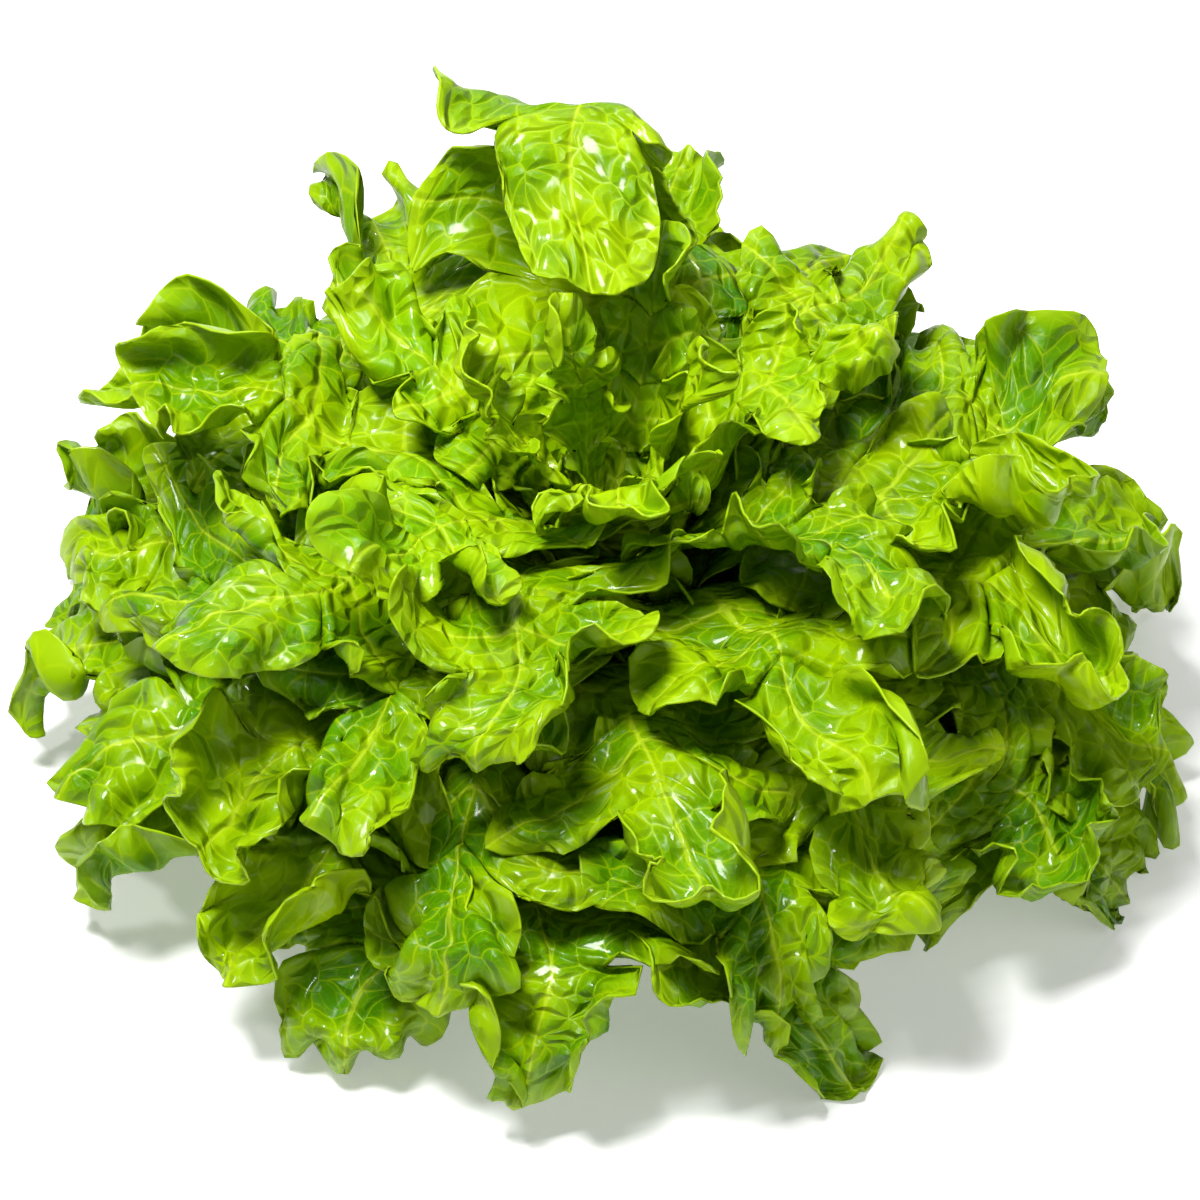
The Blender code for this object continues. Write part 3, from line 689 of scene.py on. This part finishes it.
class Nodes:
    """Short calls that add nodes to one tree and link them."""

    def __init__(self, tree):
        self.tree = tree

    def put(self, socket, value):
        if isinstance(value, bpy.types.NodeSocket):
            self.tree.links.new(value, socket)
        else:
            socket.default_value = value

    def math(self, kind, *values):
        node = self.tree.nodes.new("ShaderNodeMath")
        node.operation = kind
        for socket, value in zip(node.inputs, values):
            self.put(socket, value)
        return node.outputs[0]

    def vector(self, kind, first, second):
        node = self.tree.nodes.new("ShaderNodeVectorMath")
        node.operation = kind
        self.put(node.inputs[0], first)
        self.put(node.inputs["Scale"] if kind == "SCALE" else node.inputs[1], second)
        return node.outputs[0]

    def ramp(self, value, low, high, to_low=0.0, to_high=1.0):
        """Smooth step of value from low to high."""
        node = self.tree.nodes.new("ShaderNodeMapRange")
        node.interpolation_type = "SMOOTHSTEP"
        titles = ("Value", "From Min", "From Max", "To Min", "To Max")
        for title, number in zip(titles, (value, low, high, to_low, to_high)):
            self.put(node.inputs[title], number)
        return node.outputs["Result"]

    def mix(self, share, first, second):
        """Colour between two colours."""
        node = self.tree.nodes.new("ShaderNodeMix")
        node.data_type = "RGBA"
        for socket, value in zip((0, 6, 7), (share, first, second)):
            self.put(node.inputs[socket], value)
        return node.outputs[2]

    def noise(self, vector, scale, detail):
        node = self.tree.nodes.new("ShaderNodeTexNoise")
        node.noise_dimensions = "2D"
        for title, value in (("Vector", vector), ("Scale", scale), ("Detail", detail)):
            self.put(node.inputs[title], value)
        return node.outputs

    def cell_edges(self, vector, scale):
        node = self.tree.nodes.new("ShaderNodeTexVoronoi")
        node.voronoi_dimensions = "2D"
        node.feature = "DISTANCE_TO_EDGE"
        self.put(node.inputs["Vector"], vector)
        self.put(node.inputs["Scale"], scale)
        return node.outputs["Distance"]

    def attribute(self, name):
        node = self.tree.nodes.new("ShaderNodeAttribute")
        node.attribute_name = name
        return node.outputs["Fac"]

    def group(self, tree, **values):
        node = self.tree.nodes.new("ShaderNodeGroup")
        node.node_tree = tree
        for title, value in values.items():
            self.put(node.inputs[title.replace("_", " ")], value)
        return node.outputs


def vein_network(name):
    """Group: the net of small veins in the flat leaf, in two sizes of cell, and the relief between them."""
    sockets = [("Flat", "NodeSocketVector", None), ("Cell Size", "NodeSocketFloat", 0.006)]
    outputs = [("Veins", "NodeSocketFloat"), ("Relief", "NodeSocketFloat")]
    tree, start, end = group_of(name, sockets, outputs)
    add = Nodes(tree)
    flat, size = start.outputs["Flat"], start.outputs["Cell Size"]
    scale = add.math("DIVIDE", 1.0, size)
    warp = add.noise(flat, 140.0, 0.0)["Color"]
    bent = add.vector("ADD", flat, add.vector("SCALE", warp, 0.004))
    coarse = add.cell_edges(bent, scale)
    fine = add.cell_edges(bent, add.math("MULTIPLY", scale, 2.6))
    strong = add.ramp(coarse, 0.0, 0.05, 1.0, 0.0)
    weak = add.ramp(fine, 0.0, 0.08, 0.45, 0.0)
    add.put(end.inputs["Veins"], add.math("MAXIMUM", strong, weak))
    add.put(end.inputs["Relief"], add.ramp(coarse, 0.0, 0.45))
    return tree


def mottle(name):
    """Group: soft patches of colour and of wet gloss over the flat leaf."""
    outputs = [("Patches", "NodeSocketFloat"), ("Wet", "NodeSocketFloat")]
    tree, start, end = group_of(name, [("Flat", "NodeSocketVector", None)], outputs)
    add = Nodes(tree)
    flat = start.outputs["Flat"]
    add.put(end.inputs["Patches"], add.ramp(add.noise(flat, 45.0, 1.0)["Fac"], 0.35, 0.65))
    add.put(end.inputs["Wet"], add.ramp(add.noise(flat, 160.0, 0.0)["Fac"], 0.45, 0.6))
    return tree


def shared(name, make):
    """The node group of that name, which make builds the first time."""
    return bpy.data.node_groups.get(name) or make(name)


def leaf_material(name, look, young):
    """Leaf tissue: green between pale veins, a bright margin, pale ribs, a wet gloss, light through it."""
    made = bpy.data.materials.new(name)
    made.use_nodes = True
    tree = made.node_tree
    add = Nodes(tree)
    shader = tree.nodes["Principled BSDF"]
    flat = tree.nodes.new("ShaderNodeUVMap")
    flat.uv_map = "flat_leaf"
    flat = flat.outputs["UV"]
    net = add.group(shared("leaf vein network", vein_network), Flat=flat, Cell_Size=look.vein_cell)
    spots = add.group(shared("leaf mottle", mottle), Flat=flat)
    edge, vein, stalk, tint = (add.attribute(title) for title in ("edge_mm", "vein", "stalk", "tint"))
    deep, fresh = (look.young_deep, look.young_fresh) if young else (look.deep_green, look.fresh_green)
    share = add.math("ADD", add.math("MULTIPLY", spots["Patches"], 0.55), add.math("MULTIPLY", tint, 0.45))
    colour = add.mix(share, (*deep, 1), (*fresh, 1))
    veins = add.math("MULTIPLY", net["Veins"], add.ramp(edge, 0.5, 3.0))
    layers = (
        (add.math("MULTIPLY", veins, look.vein_contrast), look.vein_green),
        (add.ramp(vein, 0.8, 5.0, 0.14, 0.0), look.vein_green),
        (add.ramp(vein, 0.4, 1.2, 0.5, 0.0), look.rib_green),
        (add.ramp(edge, 0.2, 8.0, 0.35, 0.0), look.margin_green),
        (add.ramp(edge, 0.1, 0.7, 0.35, 0.0), look.margin_green),
        (add.ramp(stalk, 0.45, 1.0, 0.0, 0.85), look.rib_green),
    )
    for share, green in layers:
        colour = add.mix(share, colour, (*green, 1))
    add.put(shader.inputs["Base Color"], colour)
    shader.inputs["Roughness"].default_value = look.roughness
    shader.inputs["IOR"].default_value = 1.4
    shader.inputs["Specular IOR Level"].default_value = 0.22
    add.put(shader.inputs["Coat Weight"], add.math("MULTIPLY", spots["Wet"], 0.4))
    shader.inputs["Coat Roughness"].default_value = 0.12
    bump = tree.nodes.new("ShaderNodeBump")
    bump.inputs["Distance"].default_value = look.relief
    ribs = add.ramp(vein, 0.0, 5.0, -0.5, 0.0)
    add.put(bump.inputs["Height"], add.math("ADD", net["Relief"], ribs))
    add.put(shader.inputs["Normal"], bump.outputs["Normal"])
    through = tree.nodes.new("ShaderNodeBsdfTranslucent")
    through.inputs["Color"].default_value = (*look.through_green, 1)
    add.put(through.inputs["Normal"], bump.outputs["Normal"])
    blend = tree.nodes.new("ShaderNodeMixShader")
    blend.inputs[0].default_value = look.translucency
    add.put(blend.inputs[1], shader.outputs[0])
    add.put(blend.inputs[2], through.outputs[0])
    add.put(tree.nodes["Material Output"].inputs["Surface"], blend.outputs[0])
    made.diffuse_color = (*fresh, 1)
    return made


def size_property(name, text, default):
    return FloatProperty(name=name, description=text, default=default, min=0, unit="LENGTH", precision=5)


def share_property(name, text, default):
    return FloatProperty(name=name, description=text, default=default, min=0, max=1, subtype="FACTOR")


def colour_property(name, text, default):
    return FloatVectorProperty(
        name=name, description=text, default=default, size=3, min=0, max=1, subtype="COLOR"
    )


def power_property(name, text, default):
    return FloatProperty(name=name, description=text, default=default, unit="POWER")


class LettuceBladeShape(bpy.types.PropertyGroup):
    """Sizes of the fine form that the blades have over their solids."""

    crumple_height: size_property("Crumple height", "How far the blades wander up and down", 0.0030)
    crumple_length: size_property("Crumple length", "Length of one such wander", 0.038)
    blade_thickness: size_property("Blade thickness", "Thickness of the blade between its veins", 0.0006)
    ruffle_height: size_property("Ruffle height", "How far the margin waves to either side", 0.0060)
    ruffle_length: size_property("Ruffle length", "Length of one wave of the margin", 0.021)
    frill_height: size_property("Frill height", "How far the small frill of the margin waves", 0.0012)
    frill_length: size_property("Frill length", "Length of one small wave of the margin", 0.0075)
    stem_ridge: size_property("Stem ridge", "Depth of the grooves between the stem's ridges", 0.0006)
    blister_height: size_property("Blister height", "How far the blade puffs up between its veins", 0.0033)
    blister_size: size_property("Blister size", "Distance from one puff to the next", 0.0105)


class LettuceLeafLook(bpy.types.PropertyGroup):
    """Colours and finish of the leaf tissue."""

    deep_green: colour_property("Deep green", "Darker patches, outer leaves", (0.065, 0.24, 0.0001))
    fresh_green: colour_property("Fresh green", "Lighter patches, outer leaves", (0.34, 0.53, 0.0002))
    young_deep: colour_property("Young deep green", "Darker patches, heart leaves", (0.15, 0.37, 0.0003))
    young_fresh: colour_property("Young fresh green", "Lighter patches, heart leaves", (0.38, 0.57, 0.001))
    vein_green: colour_property("Vein green", "The net of small veins", (0.55, 0.69, 0.003))
    rib_green: colour_property("Rib green", "The midribs and the foot of each leaf", (0.56, 0.72, 0.03))
    margin_green: colour_property("Margin green", "The thin margin", (0.46, 0.66, 0.008))
    through_green: colour_property("Through green", "Light through a blade", (0.455, 0.625, 0.0006))
    vein_contrast: share_property("Vein contrast", "How clearly the small veins show", 0.42)
    roughness: share_property("Roughness", "Roughness of the skin", 0.33)
    translucency: share_property("Translucency", "Share of the light that goes through", 0.24)
    vein_cell: size_property("Vein cell", "Width of one cell of the vein net", 0.0065)
    relief: size_property("Relief", "Height of the fine relief between veins", 0.0011)


class LettuceStageSettings(bpy.types.PropertyGroup):
    """The camera, the floor and the lights."""

    elevation: FloatProperty(
        name="Elevation", description="Camera above the horizon", default=math.radians(40), subtype="ANGLE"
    )
    distance: size_property("Distance", "From the camera to the middle of the head", 1.75)
    frame_width: size_property("Frame width", "Width of what the camera takes in at the head", 0.3085)
    aim_height: size_property("Aim height", "Height of the point at the middle of the picture", 0.046)
    floor_grey: share_property("Floor grey", "Lightness of the floor", 0.86)
    floor_glow: share_property("Floor glow", "Light that the floor gives off, as a light table does", 0.32)
    key_power: power_property("Key power", "Power of the light above", 23)
    fill_power: power_property("Fill power", "Power of the light at the right", 4)
    rim_power: power_property("Rim power", "Power of the large light behind", 4)
    spark_power: power_property("Spark power", "Power of the small light, which makes wet spots shine", 3.5)
    sky: FloatProperty(name="Sky", description="Strength of the light from all sides", default=0.08, min=0)


def add_leaves(scene, ranks, green, young):
    look = leaf_material(green, scene.lettuce_look, young)
    for rank in ranks:
        add_blade(rank, scene.lettuce_shape, look)
    return {"FINISHED"}


class LETTUCE_OT_outer_leaves(bpy.types.Operator):
    """Build the blades of the green leaves, from the lowest up to the crest"""

    bl_idname = "lettuce.outer_leaves"
    bl_label = "Outer leaves"

    def execute(self, context):
        return add_leaves(context.scene, range(HEART_RANK), "leaf green", young=False)


class LETTUCE_OT_heart_leaves(bpy.types.Operator):
    """Build the blades of the small young leaves at the heart"""

    bl_idname = "lettuce.heart_leaves"
    bl_label = "Heart leaves"

    def execute(self, context):
        ranks = range(HEART_RANK, LEAF_COUNT)
        return add_leaves(context.scene, ranks, "heart leaf green", young=True)


def stem_material():
    """Stem flesh: pale green sides streaked along, and a cream cut with a darker ring and a browned rim."""
    made = bpy.data.materials.new("stem flesh")
    made.use_nodes = True
    add = Nodes(made.node_tree)
    shader = made.node_tree.nodes["Principled BSDF"]
    radius, turn, cut = (add.attribute(name) for name in ("radius_mm", "turn", "cut"))
    place = made.node_tree.nodes.new("ShaderNodeCombineXYZ")
    add.put(place.inputs["X"], add.math("MULTIPLY", turn, 16.0))
    add.put(place.inputs["Y"], add.math("MULTIPLY", radius, 0.25))
    streaks = add.noise(place.outputs["Vector"], 3.0, 3.0)["Fac"]
    side = add.mix(add.ramp(streaks, 0.35, 0.65), SIDE_GREEN, SIDE_CREAM)
    ring = add.math("MULTIPLY", add.ramp(radius, 9.0, 10.2), add.ramp(radius, 10.6, 12.0, 1.0, 0.0))
    face = add.mix(add.math("MULTIPLY", ring, 0.8), CUT_CREAM, CUT_RING)
    face = add.mix(add.ramp(radius, 12.8, 15.0, 0.0, 0.75), face, CUT_RIM)
    face = add.mix(add.ramp(streaks, 0.4, 0.7, 0.0, 0.35), face, CUT_STREAK)
    add.put(shader.inputs["Base Color"], add.mix(cut, side, face))
    add.put(shader.inputs["Roughness"], add.ramp(streaks, 0.3, 0.7, 0.32, 0.5))
    bump = made.node_tree.nodes.new("ShaderNodeBump")
    bump.inputs["Distance"].default_value = 0.0004
    add.put(bump.inputs["Height"], streaks)
    add.put(shader.inputs["Normal"], bump.outputs["Normal"])
    return made


class LETTUCE_OT_stem(bpy.types.Operator):
    """Build the cut stem with the low ridges that its leaves ran into"""

    bl_idname = "lettuce.stem"
    bl_label = "Stem"

    def execute(self, context):
        shape = context.scene.lettuce_shape
        turn = np.arange(STEM_SIDES) * 2 * math.pi / STEM_SIDES
        side = np.linspace(0.003, STEM_HEIGHT, STEM_RINGS)
        heights = np.concatenate([[0, 0, 0, 0, 0.0004, 0.0012], side, [STEM_HEIGHT] * 2])
        shares = np.concatenate([[0.02, 0.35, 0.7, 0.94, 0.985, 1.0], np.ones(STEM_RINGS), [0.5, 0.04]])
        ridges = np.cos(8 * turn[None] + heights[:, None] * 220)
        ridges = ridges + 0.6 * np.cos(13 * turn[None] - heights[:, None] * 350)
        depth = shape.stem_ridge * (1 - ridges / 1.6) / 2 * np.minimum(shares, 1)[:, None]
        radius = (stem_radius(heights) * shares)[:, None] - depth * smooth(heights / 0.004)[:, None]
        z = np.repeat(heights[:, None], STEM_SIDES, 1)
        points = np.stack([radius * np.cos(turn), radius * np.sin(turn), z], -1).reshape(-1, 3)
        index = np.arange(len(points)).reshape(len(heights), STEM_SIDES)
        beside = np.roll(index, -1, 1)
        faces = np.stack([index[:-1], beside[:-1], beside[1:], index[1:]], -1).reshape(-1, 4).tolist()
        faces += [index[0, ::-1].tolist(), index[-1].tolist()]
        mesh = bpy.data.meshes.new("stem_flesh")
        mesh.from_pydata(points.tolist(), [], faces)
        around = np.abs(np.repeat(turn[None], len(heights), 0) / math.pi - 1)
        cut = np.repeat((heights < CUT_HEIGHT)[:, None], STEM_SIDES, 1)
        add_values(mesh, radius_mm=radius * 1000, turn=around, cut=cut)
        mesh.materials.append(stem_material())
        add_piece(mesh, "stem")
        return {"FINISHED"}


def add_light(name, place, power, size):
    data = bpy.data.lights.new(name, "AREA")
    data.energy, data.size = power, size
    lamp = bpy.data.objects.new(name, data)
    lamp.location = place
    lamp.rotation_euler = (Vector(LIGHT_AIM) - Vector(place)).to_track_quat("-Z", "Y").to_euler()
    bpy.context.scene.collection.objects.link(lamp)


class LETTUCE_OT_stage(bpy.types.Operator):
    """Build the floor, the lights and the camera"""

    bl_idname = "lettuce.stage"
    bl_label = "Stage"

    def execute(self, context):
        stage = context.scene.lettuce_stage
        mesh = bpy.data.meshes.new("floor")
        corners = [(x * FLOOR_HALF, y * FLOOR_HALF, 0) for x, y in ((-1, -1), (1, -1), (1, 1), (-1, 1))]
        mesh.from_pydata(corners, [], [(0, 1, 2, 3)])
        paint = bpy.data.materials.new("floor white")
        paint.use_nodes = True
        shader = paint.node_tree.nodes["Principled BSDF"]
        shader.inputs["Base Color"].default_value = (*[stage.floor_grey] * 3, 1)
        shader.inputs["Roughness"].default_value = 0.7
        shader.inputs["Emission Color"].default_value = (1, 1, 1, 1)
        shader.inputs["Emission Strength"].default_value = stage.floor_glow
        mesh.materials.append(paint)
        floor = bpy.data.objects.new("floor", mesh)
        context.scene.collection.objects.link(floor)
        world = bpy.data.worlds.new("studio")
        world.use_nodes = True
        background = world.node_tree.nodes["Background"]
        background.inputs["Color"].default_value = (1, 1, 1, 1)
        background.inputs["Strength"].default_value = stage.sky
        context.scene.world = world
        for name, (place, size) in LIGHTS.items():
            add_light(f"{name} light", place, getattr(stage, f"{name}_power"), size)
        context.scene.view_settings.view_transform = "Standard"
        data = bpy.data.cameras.new("camera")
        data.lens = data.sensor_width * stage.distance / stage.frame_width
        camera = bpy.data.objects.new("camera", data)
        back = Vector((0, -math.cos(stage.elevation), math.sin(stage.elevation)))
        aim = Vector((0, 0, stage.aim_height))
        camera.location = aim + stage.distance * back
        camera.rotation_euler = (-back).to_track_quat("-Z", "Y").to_euler()
        context.scene.collection.objects.link(camera)
        context.scene.camera = camera
        return {"FINISHED"}


class LETTUCE_PT_panel(bpy.types.Panel):
    """The lettuce's settings and the buttons that build it"""

    bl_label = "Lettuce"
    bl_space_type = "VIEW_3D"
    bl_region_type = "UI"
    bl_category = "Lettuce"

    def draw(self, context):
        scene = context.scene
        for settings in (scene.lettuce_shape, scene.lettuce_look, scene.lettuce_stage):
            box = self.layout.box()
            for title in settings.__annotations__:
                box.prop(settings, title)
        for operator in OPERATORS:
            self.layout.operator(operator.bl_idname)


OPERATORS = (LETTUCE_OT_outer_leaves, LETTUCE_OT_heart_leaves, LETTUCE_OT_stem, LETTUCE_OT_stage)
GROUPS = {
    "lettuce_shape": LettuceBladeShape,
    "lettuce_look": LettuceLeafLook,
    "lettuce_stage": LettuceStageSettings,
}


def register():
    for group in GROUPS.values():
        bpy.utils.register_class(group)
    for title, group in GROUPS.items():
        setattr(bpy.types.Scene, title, PointerProperty(type=group))
    for made in (*OPERATORS, LETTUCE_PT_panel):
        bpy.utils.register_class(made)


def unregister():
    for made in reversed((*OPERATORS, LETTUCE_PT_panel)):
        bpy.utils.unregister_class(made)
    for title in GROUPS:
        delattr(bpy.types.Scene, title)
    for group in GROUPS.values():
        bpy.utils.unregister_class(group)


def main():
    register()
    bpy.ops.lettuce.stage()
    bpy.ops.lettuce.outer_leaves()
    bpy.ops.lettuce.heart_leaves()
    bpy.ops.lettuce.stem()


if __name__ == "__main__":
    main()
